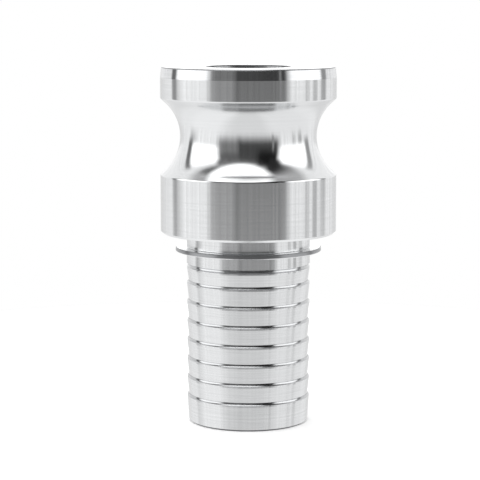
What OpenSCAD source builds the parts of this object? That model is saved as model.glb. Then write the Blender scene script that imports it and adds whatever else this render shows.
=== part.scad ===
// Cam and groove coupling adapter with a hose shank, turned in one piece from bar.
// It stands on the end of its shank, on the +Z axis, with the coupler head on top.
// Every feature is a half profile, with the radius along X and the height along Y,
// and one revolve of the whole profile makes the part.

/* [Coupler head] */
// Diameter of the head that enters the coupler
head_d = 36.6; // [34:0.1:44]
// Height of the head, from its sealing face to the edge of the cam groove
head_h = 6.5; // [4:0.1:12]
// Height of the tapered lead-in below the sealing face
lead_in_h = 2.2; // [1:0.1:3.5]
// How far the lead-in draws in, measured on the radius
lead_in_depth = 0.25; // [0.1:0.05:1]

/* [Cam groove] */
// Radius of the round groove that the cams press into
groove_r = 9.4; // [8:0.1:12]
// Diameter at the bottom of the cam groove
groove_root_d = 28.4; // [24:0.1:32]
// Depth of the straight flare at each groove edge, measured on the radius
flare_depth = 0.8; // [0.5:0.05:1.1]
// How many degrees steeper the flare is than the arc where it takes over
flare_turn = 2.5; // [1:0.5:10]
// Radius that rounds each edge where the flare runs out
groove_edge_r = 0.45; // [0.1:0.05:0.8]

/* [Collar] */
// Diameter of the collar below the cam groove
collar_d = 36.6; // [34:0.1:44]
// Height of the collar, from the edge of the cam groove to its underside
collar_h = 12.2; // [6:0.1:30]
// Bevel round the collar's lower edge
collar_chamfer = 0.5; // [0.2:0.05:1.5]

/* [Ferrule stop] */
// Height of the neck between the collar and the stop flange
neck_h = 2.9; // [1.5:0.1:6]
// Diameter of the neck
neck_d = 25.8; // [24:0.1:29]
// Diameter of the thin flange that a ferrule is crimped behind
flange_d = 30.4; // [30:0.1:40]
// Thickness of that flange
flange_t = 0.9; // [0.6:0.05:3]
// How far the flange's rim draws in towards its top, measured on the radius
flange_lean = 0.05; // [0.01:0.01:0.15]

/* [Hose shank] */
// Diameter of the plain stretch under the flange
shank_d = 25.8; // [25.4:0.1:29]
// Length from the flange to the crest of the top barb
shank_plain_l = 3.3; // [1.5:0.1:12]
// Diameter over the crests of the barbs
crest_d = 25.7; // [25.2:0.1:29]
// Straight stretch at each crest, before the land narrows
crest_flat_l = 0.3; // [0.1:0.05:0.8]
// Depth of each barb, measured on the radius
barb_depth = 0.35; // [0.15:0.05:0.6]
// Radius of the tool nose that cuts the step above each crest
barb_nose_r = 0.7; // [0.4:0.05:1]
// Number of barbs
barb_count = 8; // [3:1:16]
// Distance from one crest to the next
barb_pitch = 4; // [3:0.1:8]
// Length of the land under the top barb
top_land_l = 3.3; // [2:0.1:8]
// Length of the land at the shank's free end
end_land_l = 5.4; // [3:0.1:12]
// Bevel round the shank's free end
end_chamfer = 0.3; // [0.1:0.05:0.6]

/* [Flow bore] */
// Diameter of the bore, which runs right through
bore_d = 17.4; // [12:0.1:21]

/* [Edges] */
// Small bevel on the head, the plain shank and the mouths of the bore
edge_break = 0.2; // [0.1:0.05:0.5]
// Small bevel on both edges of the flange
flange_break = 0.15; // [0.05:0.05:0.25]
// Radius that the turning tool leaves in the inner corners
inner_corner_r = 0.15; // [0.1:0.05:0.6]

/* [Hidden] */
$fn = 180;

// Radii
head_r = head_d / 2;
groove_root_r = groove_root_d / 2;
collar_r = collar_d / 2;
neck_r = neck_d / 2;
flange_r = flange_d / 2;
shank_r = shank_d / 2;
crest_r = crest_d / 2;
root_r = crest_r - barb_depth;
bore_r = bore_d / 2;
lead_in_r = head_r - lead_in_depth;

// How much height an arc takes as it rises by a depth from its lowest point
function arc_rise(arc_r, depth) = sqrt(arc_r * arc_r - (arc_r - depth) * (arc_r - depth));

// Depth of the groove's arc, up to where the flare takes over
function arc_depth(edge_r) = edge_r - flare_depth - groove_root_r;
// Angle between the flare and the axis
function flare_angle(edge_r) = acos(1 - arc_depth(edge_r) / groove_r) - flare_turn;
// Height of the flare
function flare_h(edge_r) = flare_depth / tan(flare_angle(edge_r));
// The cam groove reaches the head above its middle and the collar below it
groove_above = arc_rise(groove_r, arc_depth(head_r)) + flare_h(head_r);
groove_below = arc_rise(groove_r, arc_depth(collar_r)) + flare_h(collar_r);

// Height of the step above each crest
barb_step_h = arc_rise(barb_nose_r, barb_depth);

// Heights, from the free end of the shank upwards
top_crest_z = end_land_l + (barb_count - 2) * barb_pitch + top_land_l;
function crest_z(i) = i == barb_count - 1 ? top_crest_z : end_land_l + i * barb_pitch;
flange_z = top_crest_z + shank_plain_l;
neck_z = flange_z + flange_t;
collar_z = neck_z + neck_h;
groove_low_z = collar_z + collar_h;
groove_mid_z = groove_low_z + groove_below;
groove_high_z = groove_mid_z + groove_above;
face_z = groove_high_z + head_h;

// How far a cut or a fillet runs past the line where it ends
overlap = 1;
// How far the cut of a groove flare runs back, inside the arc, from where it starts
flare_run = 0.3;
// How much larger a round is drawn than the corner it fits, so that it crosses the
// faces on its two sides instead of only touching them
round_excess = 0.001;

// Straight stretch of the profile, from the axis out to a radius
module stretch(r, low_z, high_z) {
    polygon([[0, low_z], [r, low_z], [r, high_z], [0, high_z]]);
}

// Triangle that takes off the corner of a profile: r_side and z_side, 1 or -1,
// say on which side of the corner the metal lies
module bevel_cut(corner_r, corner_z, size, r_side, z_side) {
    translate([corner_r, corner_z])
        polygon([
            [r_side * (size + overlap), -z_side * overlap],
            [-r_side * overlap, z_side * (size + overlap)],
            [-r_side * overlap, -z_side * overlap]
        ]);
}

// Rounded inner corner between an upright wall and a shoulder: z_side is 1 where
// the corner lies above the shoulder, -1 where it lies below
module inner_corner(wall_r, shoulder_z, z_side) {
    translate([wall_r, shoulder_z])
        mirror([0, z_side < 0 ? 1 : 0])
            difference() {
                translate([-overlap, 0]) square([overlap + inner_corner_r, inner_corner_r]);
                translate([inner_corner_r, inner_corner_r])
                    circle(inner_corner_r + round_excess);
            }
}

// Head, with its lead-in taper and the bevel round the sealing face
module head_profile() {
    difference() {
        polygon([
            [0, groove_mid_z],
            [head_r, groove_mid_z],
            [head_r, face_z - lead_in_h],
            [lead_in_r, face_z],
            [0, face_z]
        ]);
        bevel_cut(lead_in_r, face_z, edge_break, -1, -1);
    }
}

// Collar, bevelled at its lower edge
module collar_profile() {
    difference() {
        stretch(collar_r, collar_z, groove_mid_z);
        bevel_cut(collar_r, collar_z, collar_chamfer, -1, 1);
    }
}

// Cut of the cam groove: a round bottom that flares out to the head and the collar
module cam_groove_cut() {
    translate([groove_root_r + groove_r, groove_mid_z]) circle(groove_r);
    translate([head_r, groove_high_z]) groove_edge_cut(head_r);
    translate([collar_r, groove_low_z]) mirror([0, 1]) groove_edge_cut(collar_r);
}

// Cut of one groove edge, drawn from its sharp corner with the metal above it: the
// straight flare, and then a wedge beyond the round that takes the corner off
module groove_edge_cut(edge_r) {
    angle = flare_angle(edge_r);
    flare_l = flare_depth / sin(angle);
    polygon([
        -(flare_l + flare_run) * [sin(angle), cos(angle)],
        overlap * [1, 1 / tan(angle)],
        [overlap, -flare_h(edge_r)]
    ]);
    wedge_l = groove_edge_r + overlap;
    translate([-groove_edge_r, groove_edge_r * tan(angle / 2)])
        difference() {
            polygon([[0, 0], [wedge_l, 0], wedge_l * [cos(angle), -sin(angle)]]);
            circle(groove_edge_r + round_excess);
        }
}

// Neck between the collar and the flange, rounded into both
module neck_profile() {
    stretch(neck_r, neck_z, collar_z);
    inner_corner(neck_r, neck_z, 1);
    inner_corner(neck_r, collar_z, -1);
}

// Thin flange that stops the ferrule, with a rim that leans in a little
module flange_profile() {
    rim_top_r = flange_r - flange_lean;
    difference() {
        polygon([[0, flange_z], [flange_r, flange_z], [rim_top_r, neck_z], [0, neck_z]]);
        bevel_cut(flange_r, flange_z, flange_break, -1, 1);
        bevel_cut(rim_top_r, neck_z, flange_break, -1, -1);
    }
}

// Plain stretch of the shank, down to the step above the top crest
module plain_shank_profile() {
    step_z = top_crest_z + barb_step_h;
    difference() {
        stretch(shank_r, step_z, flange_z);
        bevel_cut(shank_r, step_z, edge_break, -1, 1);
    }
    inner_corner(shank_r, flange_z, -1);
}

// One barb: a round-nosed step cut into the metal above its crest, a short
// straight crest, and a land that narrows from there down to low_z
module barb_profile(top_z, low_z) {
    step_z = top_z + barb_step_h;
    difference() {
        polygon([
            [0, low_z],
            [root_r, low_z],
            [crest_r, top_z - crest_flat_l],
            [crest_r, step_z],
            [0, step_z]
        ]);
        translate([root_r + barb_nose_r, step_z]) circle(barb_nose_r);
    }
}

// Hose shank: the plain stretch, then the barbs down to the bevelled free end
module shank_profile() {
    plain_shank_profile();
    for (i = [1 : barb_count - 1])
        barb_profile(crest_z(i), crest_z(i - 1) + barb_step_h);
    difference() {
        barb_profile(crest_z(0), 0);
        bevel_cut(root_r, 0, end_chamfer, -1, 1);
    }
}

// Cut of the flow bore, bevelled at both mouths
module bore_cut() {
    translate([-overlap, -overlap]) square([bore_r + overlap, face_z + 2 * overlap]);
    bevel_cut(bore_r, 0, edge_break, 1, 1);
    bevel_cut(bore_r, face_z, edge_break, 1, -1);
}

module adapter_profile() {
    difference() {
        union() {
            head_profile();
            collar_profile();
            neck_profile();
            flange_profile();
            shank_profile();
        }
        cam_groove_cut();
        bore_cut();
    }
}

module adapter() {
    color("#c8cacb")
        rotate_extrude()
            adapter_profile();
}

adapter();
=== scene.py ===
import math

import bmesh
import bpy
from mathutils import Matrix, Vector


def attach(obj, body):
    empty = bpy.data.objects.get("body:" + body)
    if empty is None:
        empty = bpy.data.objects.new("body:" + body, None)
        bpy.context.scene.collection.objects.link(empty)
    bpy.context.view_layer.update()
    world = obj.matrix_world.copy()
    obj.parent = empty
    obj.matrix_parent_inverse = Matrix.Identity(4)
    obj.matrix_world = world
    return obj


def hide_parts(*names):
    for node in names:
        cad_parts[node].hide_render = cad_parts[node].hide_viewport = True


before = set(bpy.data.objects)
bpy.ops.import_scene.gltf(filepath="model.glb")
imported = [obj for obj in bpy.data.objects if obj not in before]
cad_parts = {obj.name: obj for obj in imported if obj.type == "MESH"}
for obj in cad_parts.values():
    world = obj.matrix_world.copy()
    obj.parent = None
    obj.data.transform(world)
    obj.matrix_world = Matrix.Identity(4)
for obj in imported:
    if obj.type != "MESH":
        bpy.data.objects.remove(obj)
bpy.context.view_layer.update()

# Everything is in the frame of the CAD part, in metres, with +Z up the turning axis.
# The sizes of the turned piece are written in millimetres, and MM turns them to metres.
MM = 0.001
FULL_TURN = 2 * math.pi

# Coupler head
HEAD_R = 18.3
HEAD_H = 6.5
LEAD_IN_H = 2.2
LEAD_IN_DEPTH = 0.25

# Cam groove
GROOVE_R = 9.4
GROOVE_ROOT_R = 14.2
FLARE_DEPTH = 0.8
FLARE_TURN = 2.5
GROOVE_EDGE_R = 0.45

# Collar, neck and flange
COLLAR_R = 18.3
COLLAR_H = 12.2
COLLAR_CHAMFER = 0.5
NECK_R = 12.9
NECK_H = 2.9
FLANGE_R = 15.2
FLANGE_T = 0.9
FLANGE_LEAN = 0.05

# Hose shank
SHANK_R = 12.9
SHANK_PLAIN_L = 3.3
CREST_R = 12.85
CREST_FLAT_L = 0.3
BARB_DEPTH = 0.35
BARB_NOSE_R = 0.7
BARB_COUNT = 8
BARB_PITCH = 4
TOP_LAND_L = 3.3
END_LAND_L = 5.4
END_CHAMFER = 0.3

# Bore and small edges
BORE_R = 8.7
EDGE_BREAK = 0.2
FLANGE_BREAK = 0.15
INNER_CORNER_R = 0.15

# How finely the piece is spun, and how finely its round passes are stepped
SEGMENTS = 256
GROOVE_STEPS = 60
EDGE_STEPS = 12
NOSE_STEPS = 10
CORNER_STEPS = 6
QUARTER = 90


def arc_rise(radius, depth):
    """How much height an arc takes as it rises by a depth from its lowest point."""
    return math.sqrt(radius ** 2 - (radius - depth) ** 2)


# Radii and heights that follow from the sizes
ROOT_R = CREST_R - BARB_DEPTH
LEAD_IN_R = HEAD_R - LEAD_IN_DEPTH
GROOVE_CENTRE_R = GROOVE_ROOT_R + GROOVE_R
BARB_STEP_H = arc_rise(BARB_NOSE_R, BARB_DEPTH)
NOSE_ANGLE = math.degrees(math.asin(BARB_STEP_H / BARB_NOSE_R))
CREST_Z = [END_LAND_L + i * BARB_PITCH for i in range(BARB_COUNT - 1)]
CREST_Z.append(CREST_Z[-1] + TOP_LAND_L)
FLANGE_Z = CREST_Z[-1] + SHANK_PLAIN_L
NECK_Z = FLANGE_Z + FLANGE_T
COLLAR_Z = NECK_Z + NECK_H
GROOVE_LOW_Z = COLLAR_Z + COLLAR_H

# The groove's arc gives way to a straight flare near each edge, at the same angle on both
ARC_DEPTH = HEAD_R - FLARE_DEPTH - GROOVE_ROOT_R
ARC_ANGLE = math.degrees(math.acos(1 - ARC_DEPTH / GROOVE_R))
FLARE_ANGLE = ARC_ANGLE - FLARE_TURN
FLARE_H = FLARE_DEPTH / math.tan(math.radians(FLARE_ANGLE))
GROOVE_MID_Z = GROOVE_LOW_Z + FLARE_H + arc_rise(GROOVE_R, ARC_DEPTH)
GROOVE_HIGH_Z = GROOVE_MID_Z + arc_rise(GROOVE_R, ARC_DEPTH) + FLARE_H
FACE_Z = GROOVE_HIGH_Z + HEAD_H
# How far past the sharp corner of a groove edge its rounding starts
EDGE_RISE = GROOVE_EDGE_R * math.tan(math.radians(FLARE_ANGLE / 2))


def add(tree, kind, settings=(), links=()):
    """Adds a node. A setting gives an input or a property its value, and a link gives an input its source."""
    node = tree.nodes.new(kind)
    for name, value in settings:
        if isinstance(name, int) or name in node.inputs:
            node.inputs[name].default_value = value
        else:
            setattr(node, name, value)
    for name, source in links:
        tree.links.new(source, node.inputs[name])
    return node


def linear(hex_colour):
    """An sRGB hex colour as linear RGBA."""
    channels = [int(hex_colour[i:i + 2], 16) / 255 for i in (1, 3, 5)]
    return [c / 12.92 if c <= 0.04045 else ((c + 0.055) / 1.055) ** 2.4 for c in channels] + [1]


# Finishes of stainless steel. All are the same bar; what differs is how each surface was cut, and in four
# finishes the colour also holds painted light: three hold painted shade, one a painted highlight.
# light, dark: colours of the metal at the crests and in the furrows of the tool's lines.
# rough: roughness, which sets how soft the studio's edges are in the reflection.
# feed: spacing of the tool's lines in mm, drawn several times as coarse as the real 0.1 mm
#   so that they show in the render, as faint bands along the reflections.
# depth: height of those lines in mm.
FINISHES = {
    # Fine turned: soft mirror with faint rings
    "fine_turned_steel": dict(light="#dcddde", dark="#c4c5c6", rough=0.14, feed=0.42, depth=0.0007),
    # Polished after turning: sharp reflections, hardly a line left
    "polished_steel": dict(light="#d9dadb", dark="#d0d1d2", rough=0.12, feed=0.6, depth=0.0003),
    # The lead-in: as bright, with the tool's lines still on it
    "lead_in_steel": dict(light="#dadbdc", dark="#bcbdbf", rough=0.12, feed=0.34, depth=0.0012),
    # Faced: rings round the axis on the flat ends
    "faced_steel": dict(light="#d8d9da", dark="#c8c9ca", rough=0.2, feed=0.35, depth=0.0007),
    # Bored: duller and with deeper lines, as inside any bore
    "bored_steel": dict(light="#c6c7c8", dark="#a9aaab", rough=0.28, feed=0.5, depth=0.0015),
    # Cut with the round nose of the tool, above each barb: less sharp, and greyer, a grey that paints the
    # shade in the root corner of each barb
    "nose_cut_painted_shade_steel": dict(light="#c0c1c2", dark="#9fa0a2", rough=0.16, feed=0.3, depth=0.0002),
    # The flange's rim and the head's top edge: satin, and mid grey, a grey that paints the dark band of shade
    # along the flange's rim
    "satin_edge_painted_shade_steel": dict(light="#97989a", dark="#7b7c7e", rough=0.35, feed=0.3, depth=0.002),
    # Edges broken at the foot and at the bore's mouths: thin dull lines whose dark grey is painted shade, the
    # contact shadow along the foot and the shade in the bore's mouths
    "edge_break_painted_shade_steel": dict(light="#747577", dark="#5c5d5f", rough=0.45, feed=0.3, depth=0.002),
    # Bevels: the brightest metal on the piece, whose lighter colour is a painted highlight along each bevel
    "bevel_painted_highlight_steel": dict(light="#e4e5e6", dark="#dcddde", rough=0.14, feed=0.5, depth=0.0002),
}

# The tool's lines blur a reflection across them and keep it sharp along them
ACROSS_THE_LINES = 0.25
STRETCH = 0.9
# How uneven the lines are: finer lines within them, and how strong those are
LINE_DETAIL = 3
LINE_UNEVENNESS = 0.6
# Breaks in the lines: about this long round the piece and this high, in mm
BREAK_L = 6
BREAK_H = 0.3
BREAK_DETAIL = 2
# How much rougher the furrows are than the finish, and how much smoother the crests
GLOSS_SPREAD = 0.3


def metal(name, light, dark, rough, feed, depth):
    """Bare steel whose tool lines follow the feed of the lathe along the surface."""
    material = bpy.data.materials.new(name)
    material.use_nodes = True
    tree = material.node_tree
    tree.nodes.clear()
    fed = add(tree, "ShaderNodeAttribute", [("attribute_name", "feed")])
    place = add(tree, "ShaderNodeTexCoord").outputs["Object"]
    rings = add(tree, "ShaderNodeTexNoise",
                [("noise_dimensions", "1D"), ("Scale", 1 / feed), ("Detail", LINE_DETAIL),
                 ("Roughness", LINE_UNEVENNESS)],
                [("W", fed.outputs["Fac"])])
    drawn_out = add(tree, "ShaderNodeMapping",
                    [("Scale", [1 / (size * MM) for size in (BREAK_L, BREAK_L, BREAK_H)])],
                    [("Vector", place)])
    breaks = add(tree, "ShaderNodeTexNoise", [("Scale", 1), ("Detail", BREAK_DETAIL)],
                 [("Vector", drawn_out.outputs["Vector"])])
    lines = add(tree, "ShaderNodeMix", [("Factor", 0.5)],
                [("A", rings.outputs["Fac"]), ("B", breaks.outputs["Fac"])]).outputs[0]
    colour = add(tree, "ShaderNodeMix",
                 [("data_type", "RGBA"), (6, linear(dark)), (7, linear(light))],
                 [(0, lines)])
    gloss = add(tree, "ShaderNodeMapRange",
                [("To Min", rough * (1 + GLOSS_SPREAD)), ("To Max", rough * (1 - GLOSS_SPREAD))],
                [("Value", lines)])
    relief = add(tree, "ShaderNodeBump",
                 [("Strength", 1), ("Distance", depth * MM)],
                 [("Height", lines)])
    round_the_axis = add(tree, "ShaderNodeVectorMath",
                         [("operation", "CROSS_PRODUCT"), (0, (0, 0, 1))],
                         [(1, place)])
    shader = add(tree, "ShaderNodeBsdfPrincipled",
                 [("Metallic", 1), ("Anisotropic", STRETCH), ("Anisotropic Rotation", ACROSS_THE_LINES)],
                 [("Base Color", colour.outputs[2]),
                  ("Roughness", gloss.outputs["Result"]),
                  ("Normal", relief.outputs["Normal"]),
                  ("Tangent", round_the_axis.outputs["Vector"])])
    add(tree, "ShaderNodeOutputMaterial", [], [("Surface", shader.outputs["BSDF"])])
    return material


class Lathe:
    """The half profile, cut in passes: each starts where the last one ended, and has one finish."""

    def __init__(self, radius, height):
        self.mesh = bmesh.new()
        self.pass_of = self.mesh.edges.layers.int.new("pass")
        self.feed_of = self.mesh.verts.layers.float.new("feed")
        self.first = self.tip = self.mesh.verts.new(Vector((radius, 0, height)) * MM)
        self.finishes = []

    def straight(self, radius, height, finish):
        """One straight pass of the tool, to a new radius and height."""
        drawn = bmesh.ops.extrude_vert_indiv(self.mesh, verts=[self.tip])["verts"]
        drawn[0].co = Vector((radius, 0, height)) * MM
        self.cut(drawn, finish)

    def rounded(self, centre_r, centre_z, degrees, steps, finish):
        """One round pass about a centre, anticlockwise as seen with the axis on the left."""
        count = len(self.mesh.verts)
        bmesh.ops.spin(self.mesh, geom=[self.tip], cent=Vector((centre_r, 0, centre_z)) * MM,
                       axis=(0, -1, 0), angle=math.radians(degrees), steps=steps)
        self.mesh.verts.ensure_lookup_table()
        self.cut(self.mesh.verts[count:], finish)

    def cut(self, path, finish):
        """Notes which pass made each stretch, and how far the tool had been fed, in mm."""
        self.finishes.append(finish)
        for vertex in path:
            stretch = self.mesh.edges.get((self.tip, vertex))
            stretch[self.pass_of] = len(self.finishes)
            vertex[self.feed_of] = self.tip[self.feed_of] + stretch.calc_length() / MM
            self.tip = vertex

    def close(self, finish):
        """The last pass, back to where the first one started."""
        self.finishes.append(finish)
        joined = bmesh.ops.contextual_create(self.mesh, geom=[self.tip, self.first])["edges"]
        joined[0][self.pass_of] = len(self.finishes)

    def spin(self, name):
        """Spins the profile into the whole piece. Where two passes meet, the edge is sharp."""
        mesh = self.mesh
        bmesh.ops.spin(mesh, geom=mesh.verts[:] + mesh.edges[:], cent=(0, 0, 0), axis=(0, 0, 1),
                       angle=FULL_TURN, steps=SEGMENTS, use_merge=True)
        bmesh.ops.recalc_face_normals(mesh, faces=mesh.faces)
        looks = list(FINISHES)
        for face in mesh.faces:
            made_by = max(edge[self.pass_of] for edge in face.edges)
            face.material_index = looks.index(self.finishes[made_by - 1])
            face.smooth = True
        for edge in mesh.edges:
            passes = {side[self.pass_of] for face in edge.link_faces for side in face.edges}
            edge.smooth = edge[self.pass_of] > 0 or len(passes) == 2
        data = bpy.data.meshes.new(name)
        for finish, look in FINISHES.items():
            data.materials.append(metal(finish, **look))
        mesh.to_mesh(data)
        mesh.free()
        piece = bpy.data.objects.new(name, data)
        bpy.context.scene.collection.objects.link(piece)
        return piece


def turn_shank(lathe):
    """The free end, the barbs from the lowest up, and the plain stretch below the flange."""
    taper = BARB_DEPTH / (END_LAND_L - CREST_FLAT_L)
    end_bevel = END_CHAMFER / (1 - taper)
    lathe.straight(ROOT_R - END_CHAMFER, 0, "faced_steel")
    # The foot's bevel: its dark grey is a painted contact shadow
    lathe.straight(ROOT_R + end_bevel * taper, end_bevel, "edge_break_painted_shade_steel")
    for crest_z in CREST_Z:
        lathe.straight(CREST_R, crest_z - CREST_FLAT_L, "fine_turned_steel")
        lathe.straight(CREST_R, crest_z, "fine_turned_steel")
        # The nose: its greyer colour is painted shade in the barb's root corner
        lathe.rounded(ROOT_R + BARB_NOSE_R, crest_z + BARB_STEP_H, -NOSE_ANGLE,
                      NOSE_STEPS, "nose_cut_painted_shade_steel")
    ledge_z = CREST_Z[-1] + BARB_STEP_H
    lathe.straight(SHANK_R - EDGE_BREAK, ledge_z, "faced_steel")
    # The ledge's bevel: its lighter colour is a painted highlight
    lathe.straight(SHANK_R, ledge_z + EDGE_BREAK, "bevel_painted_highlight_steel")
    lathe.straight(SHANK_R, FLANGE_Z - INNER_CORNER_R, "fine_turned_steel")


def turn_flange(lathe):
    """The thin flange, rounded into the shank below it and into the neck above it."""
    lathe.rounded(SHANK_R + INNER_CORNER_R, FLANGE_Z - INNER_CORNER_R, -QUARTER,
                  CORNER_STEPS, "polished_steel")
    lathe.straight(FLANGE_R - FLANGE_BREAK, FLANGE_Z, "faced_steel")
    # The flange's bevel: its lighter colour is a painted highlight
    lathe.straight(FLANGE_R, FLANGE_Z + FLANGE_BREAK, "bevel_painted_highlight_steel")
    # The flange's rim: its mid grey is painted shade
    lathe.straight(FLANGE_R - FLANGE_LEAN, NECK_Z - FLANGE_BREAK, "satin_edge_painted_shade_steel")
    lathe.straight(FLANGE_R - FLANGE_LEAN - FLANGE_BREAK, NECK_Z, "satin_edge_painted_shade_steel")
    lathe.straight(NECK_R + INNER_CORNER_R, NECK_Z, "faced_steel")
    lathe.rounded(NECK_R + INNER_CORNER_R, NECK_Z + INNER_CORNER_R, -QUARTER,
                  CORNER_STEPS, "polished_steel")


def turn_collar(lathe):
    """The neck, and the plain collar up to the edge of the cam groove."""
    lathe.straight(NECK_R, COLLAR_Z - INNER_CORNER_R, "fine_turned_steel")
    lathe.rounded(NECK_R + INNER_CORNER_R, COLLAR_Z - INNER_CORNER_R, -QUARTER,
                  CORNER_STEPS, "polished_steel")
    lathe.straight(COLLAR_R - COLLAR_CHAMFER, COLLAR_Z, "faced_steel")
    # The collar's chamfer: its lighter colour is a painted highlight
    lathe.straight(COLLAR_R, COLLAR_Z + COLLAR_CHAMFER, "bevel_painted_highlight_steel")
    lathe.straight(COLLAR_R, GROOVE_LOW_Z - EDGE_RISE, "fine_turned_steel")


def turn_groove(lathe):
    """The rounded edge of the collar, the flared round groove and the rounded edge of the head."""
    low_edge_z = GROOVE_LOW_Z - EDGE_RISE
    high_edge_z = GROOVE_HIGH_Z + EDGE_RISE
    edge_drop = GROOVE_EDGE_R * math.sin(math.radians(FLARE_ANGLE))
    edge_out = GROOVE_EDGE_R * math.cos(math.radians(FLARE_ANGLE))
    lathe.rounded(COLLAR_R - GROOVE_EDGE_R, low_edge_z, FLARE_ANGLE, EDGE_STEPS, "polished_steel")
    lathe.straight(COLLAR_R - FLARE_DEPTH, GROOVE_LOW_Z + FLARE_H, "polished_steel")
    lathe.rounded(GROOVE_CENTRE_R, GROOVE_MID_Z, -2 * ARC_ANGLE, GROOVE_STEPS, "polished_steel")
    lathe.straight(HEAD_R - GROOVE_EDGE_R + edge_out, high_edge_z - edge_drop, "polished_steel")
    lathe.rounded(HEAD_R - GROOVE_EDGE_R, high_edge_z, FLARE_ANGLE, EDGE_STEPS, "polished_steel")


def turn_head(lathe):
    """The plain band, the lead-in, the sealing face and the bore's mouth."""
    taper = LEAD_IN_DEPTH / LEAD_IN_H
    face_bevel = EDGE_BREAK / (1 - taper)
    lathe.straight(HEAD_R, FACE_Z - LEAD_IN_H, "fine_turned_steel")
    lathe.straight(LEAD_IN_R + face_bevel * taper, FACE_Z - face_bevel, "lead_in_steel")
    # The head's top edge takes the same mid grey of painted shade as the flange's rim
    lathe.straight(LEAD_IN_R - EDGE_BREAK, FACE_Z, "satin_edge_painted_shade_steel")
    lathe.straight(BORE_R + EDGE_BREAK, FACE_Z, "faced_steel")
    # The bore's top mouth: its dark grey is painted shade
    lathe.straight(BORE_R, FACE_Z - EDGE_BREAK, "edge_break_painted_shade_steel")
    lathe.straight(BORE_R, EDGE_BREAK, "bored_steel")
    # The bore's bottom mouth: its dark grey is painted shade
    lathe.close("edge_break_painted_shade_steel")


lathe = Lathe(BORE_R + EDGE_BREAK, 0)
turn_shank(lathe)
turn_flange(lathe)
turn_collar(lathe)
turn_groove(lathe)
turn_head(lathe)
body = lathe.spin("adapter_body")
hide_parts("adapter")
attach(body, "root")


# The studio, as the piece sees it. Radiances are in units of the white backdrop.
BACKDROP = 1.0
TENT = 1.15

# The tent's walls and floor, and the dark room behind the camera. Azimuth 0 is the camera's side,
# positive to its right, and elevation 0 is level with the piece, in degrees. Each side is a pair:
# where the patch starts to show, and where it is full; an open side lies past the end of the scale.
# Later patches lie over earlier ones.
OPEN_LEFT, OPEN_RIGHT = (-182, -181), (182, 181)
OPEN_BELOW, OPEN_ABOVE = (-92, -91), (92, 91)
SURROUNDINGS = [
    # name, left, right, bottom, top, radiance
    ("floor_left", (-130, -100), (-20, -60), OPEN_BELOW, (2, -10), 1.24),
    ("floor_right", (30, 62), (130, 100), OPEN_BELOW, (2, -14), 1.12),
    ("floor_front", (-60, -20), (50, 20), OPEN_BELOW, (2, -10), 1.0),
    ("floor_behind_left", OPEN_LEFT, (-132, -155), OPEN_BELOW, (-8, -16), 0.96),
    ("floor_behind_right", (132, 155), OPEN_RIGHT, OPEN_BELOW, (-8, -16), 0.9),
    ("far_edge_left", OPEN_LEFT, (-125, -160), (-17, -9), (1, -2), 0.85),
    ("far_edge_right", (125, 160), OPEN_RIGHT, (-17, -9), (1, -2), 0.85),
    ("backdrop_left", OPEN_LEFT, (-171, -176), (-1, 1.5), (26, 16), 1.8),
    ("backdrop_right", (171, 176), OPEN_RIGHT, (-1, 1.5), (26, 16), 1.8),
    ("grey_ceiling", (-160, -135), (155, 128), (42, 54), OPEN_ABOVE, 0.58),
    ("pale_ceiling_behind", OPEN_LEFT, (-118, -135), (52, 60), OPEN_ABOVE, 1.0),
    ("dark_gap_over_left_box", (-122, -96), (-55, -74), (48, 52), (62, 57), 0.16),
    ("grey_left_of_camera", (-60, -44), (-8, -20), (-26, 4), (56, 44), 0.26),
    ("darker_above_it", (-60, -46), (-8, -22), (14, 34), (54, 46), 0.14),
    ("dark_camera_side", (-22, -14), (58, 46), (-26, 4), (58, 46), 0.08),
    ("black_right_of_camera", (8, 24), (54, 46), (2, 32), (66, 50), 0.012),
    ("black_over_right_box", (34, 48), (118, 58), (40, 50), (77, 66), 0.03),
    ("stand_left_side", (-116, -112), (-92, -106), (-26, -6), (8, 0), 0.74),
    ("stand_right_near", (77, 80), (87, 84), (-26, -6), (8, 0), 0.78),
    ("stand_right_far", (90, 93), (104, 98), (-26, -6), (8, 0), 0.6),
    ("light_slit", (39, 40.5), (44, 42.5), (-26, -8), (26, 6), 0.34),
]

# A direction that doesn't meet a board counts as meeting it this far ahead, off to one side
LEAST_AHEAD = 0.001

# Softboxes and the stands beside them are flat boards that face the piece: from an azimuth and an
# elevation, leaning by a roll. Their sides are distances across and up the board, over the board's
# distance from the piece, again as pairs.
LEFT_BOX = (-84, 10, -8)
RIGHT_BOX = (84, 10, 8)
BOARDS = [
    # name, facing, left, right, bottom, top, radiance
    ("left_stand", LEFT_BOX, (-0.73, -0.61), (-0.36, -0.49), (-0.34, -0.06), (0.86, 0.62), 0.2),
    ("right_stand", RIGHT_BOX, (0.38, 0.50), (0.80, 0.64), (-0.36, -0.10), (0.86, 0.62), 0.42),
    ("left_softbox", LEFT_BOX, (-0.49, -0.25), (0.76, 0.37), (-0.22, 0.03), (0.75, 0.45), 2.3),
    ("right_softbox", RIGHT_BOX, (-0.76, -0.35), (0.52, 0.26), (-0.20, 0.05), (0.78, 0.46), 2.3),
    ("left_flag", LEFT_BOX, (0.38, 0.62), (1.1, 0.95), (0.44, 0.68), (1.0, 0.82), 0.2),
    ("right_flag", RIGHT_BOX, (-1.1, -0.95), (-0.36, -0.60), (0.42, 0.66), (1.0, 0.82), 0.03),
]

# The light overhead is round. It lies flat, so its place and reach are across and towards the
# camera, over its height above the piece; its edge fades between two shares of its reach.
OVERHEAD = (0, 90, 0)
OVERHEAD_CENTRE = (-0.14, 0.18)
OVERHEAD_REACH = (0.46, 0.6)
OVERHEAD_EDGE = (1.2, 0.78)
OVERHEAD_RADIANCE = 2.3

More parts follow.
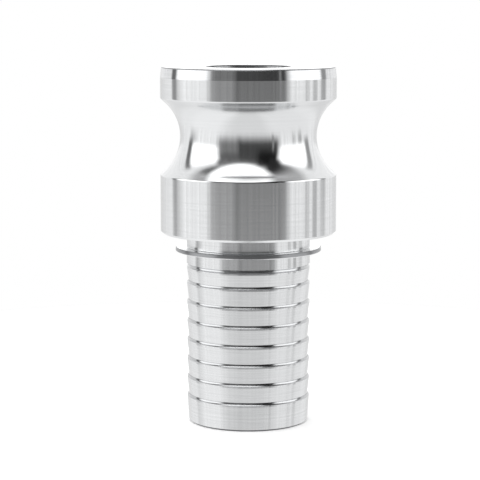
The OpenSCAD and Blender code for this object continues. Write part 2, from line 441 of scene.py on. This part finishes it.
# Folds in the tent's cloth: their spacing round the piece in degrees, how much they vary the
# light, and the elevations between which they show more and more
FOLD_SPACING = 2.4
FOLD_DETAIL = 2
FOLD_DEPTH = 0.85
FOLDS_SHOW = (-35, -8)


def patch(tree, name, under, across, up, sides, radiance):
    """Lays one soft-edged patch over what is under it, and gives the radiance that results."""
    cover = None
    for source, (start, full) in zip((across, across, up, up), sides):
        side = add(tree, "ShaderNodeMapRange",
                   [("interpolation_type", "SMOOTHSTEP"), ("From Min", start), ("From Max", full)],
                   [("Value", source)])
        if cover is None:
            cover = side
        else:
            cover = add(tree, "ShaderNodeMath", [("operation", "MULTIPLY")],
                        [(0, cover.outputs[0]), (1, side.outputs[0])])
    laid = add(tree, "ShaderNodeMix", [("label", name), ("B", radiance)],
               [("Factor", cover.outputs[0]), ("A", under)])
    return laid.outputs[0]


def seen_on_board(tree, direction, azimuth, elevation, roll):
    """Where a direction meets a board that faces the piece: across and up it, over its distance."""
    tilts = [math.radians(angle) for angle in (-elevation, roll, azimuth)]
    turned = add(tree, "ShaderNodeMapping",
                 [("vector_type", "TEXTURE"), ("Rotation", tilts)],
                 [("Vector", direction)])
    across, away, up = add(tree, "ShaderNodeSeparateXYZ", [], [("Vector", turned.outputs[0])]).outputs
    ahead = add(tree, "ShaderNodeMath", [("operation", "MULTIPLY"), (1, -1)], [(0, away)])
    distance = add(tree, "ShaderNodeMath", [("operation", "MAXIMUM"), (1, LEAST_AHEAD)],
                   [(0, ahead.outputs[0])])
    return [add(tree, "ShaderNodeMath", [("operation", "DIVIDE")],
                [(0, side), (1, distance.outputs[0])]).outputs[0] for side in (across, up)]


def overhead_light(tree, under, direction):
    """Lays the round light over what is under it, and gives the radiance that results."""
    across, back = seen_on_board(tree, direction, *OVERHEAD)
    shares = []
    for side, centre, reach in ((across, OVERHEAD_CENTRE[0], OVERHEAD_REACH[0]),
                                (back, -OVERHEAD_CENTRE[1], OVERHEAD_REACH[1])):
        offset = add(tree, "ShaderNodeMath", [("operation", "SUBTRACT"), (1, centre)], [(0, side)])
        shares.append(add(tree, "ShaderNodeMath", [("operation", "DIVIDE"), (1, reach)],
                          [(0, offset.outputs[0])]).outputs[0])
    place = add(tree, "ShaderNodeCombineXYZ", [], [("X", shares[0]), ("Y", shares[1])])
    share = add(tree, "ShaderNodeVectorMath", [("operation", "LENGTH")], [(0, place.outputs[0])])
    start, full = OVERHEAD_EDGE
    cover = add(tree, "ShaderNodeMapRange",
                [("interpolation_type", "SMOOTHSTEP"), ("From Min", start), ("From Max", full)],
                [("Value", share.outputs["Value"])])
    return add(tree, "ShaderNodeMix", [("B", OVERHEAD_RADIANCE)],
               [("Factor", cover.outputs[0]), ("A", under)]).outputs[0]


def seen_round_about(tree, direction):
    """The azimuth and the elevation of a direction, in degrees."""
    x, y, z = add(tree, "ShaderNodeSeparateXYZ", [], [("Vector", direction)]).outputs
    towards = add(tree, "ShaderNodeMath", [("operation", "MULTIPLY"), (1, -1)], [(0, y)])
    azimuth = add(tree, "ShaderNodeMath", [("operation", "ARCTAN2")], [(0, x), (1, towards.outputs[0])])
    elevation = add(tree, "ShaderNodeMath", [("operation", "ARCSINE")], [(0, z)])
    return [add(tree, "ShaderNodeMath", [("operation", "DEGREES")],
                [(0, angle.outputs[0])]).outputs[0] for angle in (azimuth, elevation)]


def folded(tree, light, azimuth, elevation):
    """Varies the light with the folds of the tent, which run straight up and down."""
    cloth = add(tree, "ShaderNodeTexNoise",
                [("noise_dimensions", "1D"), ("Scale", 1 / FOLD_SPACING), ("Detail", FOLD_DETAIL)],
                [("W", azimuth)])
    depth = add(tree, "ShaderNodeMapRange",
                [("From Min", FOLDS_SHOW[0]), ("From Max", FOLDS_SHOW[1]), ("To Max", FOLD_DEPTH)],
                [("Value", elevation)])
    offset = add(tree, "ShaderNodeMath", [("operation", "SUBTRACT"), (1, 0.5)], [(0, cloth.outputs["Fac"])])
    factor = add(tree, "ShaderNodeMath", [("operation", "MULTIPLY_ADD"), (2, 1)],
                 [(0, offset.outputs[0]), (1, depth.outputs[0])])
    return add(tree, "ShaderNodeMath", [("operation", "MULTIPLY")],
               [(0, light), (1, factor.outputs[0])]).outputs[0]


def studio():
    """A world that lights the piece as the tent does, and shows the camera a plain white backdrop."""
    world = bpy.data.worlds.new("studio")
    world.use_nodes = True
    tree = world.node_tree
    tree.nodes.clear()
    direction = add(tree, "ShaderNodeTexCoord").outputs["Generated"]
    azimuth, elevation = seen_round_about(tree, direction)
    light = add(tree, "ShaderNodeValue").outputs[0]
    light.default_value = TENT
    for name, *sides, radiance in SURROUNDINGS:
        light = patch(tree, name, light, azimuth, elevation, sides, radiance)
    light = folded(tree, light, azimuth, elevation)
    for name, facing, *sides, radiance in BOARDS:
        across, up = seen_on_board(tree, direction, *facing)
        light = patch(tree, name, light, across, up, sides, radiance)
    light = overhead_light(tree, light, direction)
    white = ("Color", (1, 1, 1, 1))
    tent = add(tree, "ShaderNodeBackground", [white], [("Strength", light)])
    backdrop = add(tree, "ShaderNodeBackground", [white, ("Strength", BACKDROP)])
    seen = add(tree, "ShaderNodeLightPath").outputs["Is Camera Ray"]
    either = add(tree, "ShaderNodeMixShader", [],
                 [(0, seen), (1, tent.outputs[0]), (2, backdrop.outputs[0])])
    add(tree, "ShaderNodeOutputWorld", [], [("Surface", either.outputs[0])])
    return world


bpy.context.scene.world = studio()
bpy.context.scene.view_settings.view_transform = "Standard"


# The floor: its radius, the corners of its rim, and how much light comes up through it
FLOOR_R = 150
FLOOR_CORNERS = 96
FLOOR_ROUGHNESS = 0.9
FLOOR_GLOW = 0.27


def white_floor():
    """The round white table that the piece stands on, lit a little from below."""
    mesh = bmesh.new()
    bmesh.ops.create_circle(mesh, cap_ends=True, segments=FLOOR_CORNERS, radius=FLOOR_R * MM)
    data = bpy.data.meshes.new("floor")
    mesh.to_mesh(data)
    mesh.free()
    paint = bpy.data.materials.new("matt_white_floor")
    paint.use_nodes = True
    shader = paint.node_tree.nodes["Principled BSDF"]
    shader.inputs["Base Color"].default_value = linear("#fafafa")
    shader.inputs["Roughness"].default_value = FLOOR_ROUGHNESS
    shader.inputs["Emission Color"].default_value = linear("#ffffff")
    shader.inputs["Emission Strength"].default_value = FLOOR_GLOW
    shader.inputs["Specular IOR Level"].default_value = 0
    data.materials.append(paint)
    floor = bpy.data.objects.new("floor", data)
    bpy.context.scene.collection.objects.link(floor)
    # The metal mirrors the floor that the studio holds, and not this one
    floor.visible_glossy = False


white_floor()

# The camera, as fitted to the rings of the photographed piece: in mm from the foot's centre, then
# its tilt downwards in degrees and its focal length in mm
CAMERA_BACK = 385.5
CAMERA_HEIGHT = 88.7
CAMERA_ASIDE = -1.74
CAMERA_PITCH = 7.48
LENS = 139.3
# Metres in front of the camera within which it sees nothing
NEAR_LIMIT = 0.02

camera_data = bpy.data.cameras.new("camera")
camera_data.lens = LENS
camera_data.clip_start = NEAR_LIMIT
camera = bpy.data.objects.new("camera", camera_data)
camera.location = Vector((CAMERA_ASIDE, -CAMERA_BACK, CAMERA_HEIGHT)) * MM
camera.rotation_euler = (math.radians(90 - CAMERA_PITCH), 0, 0)
bpy.context.scene.collection.objects.link(camera)
bpy.context.scene.camera = camera
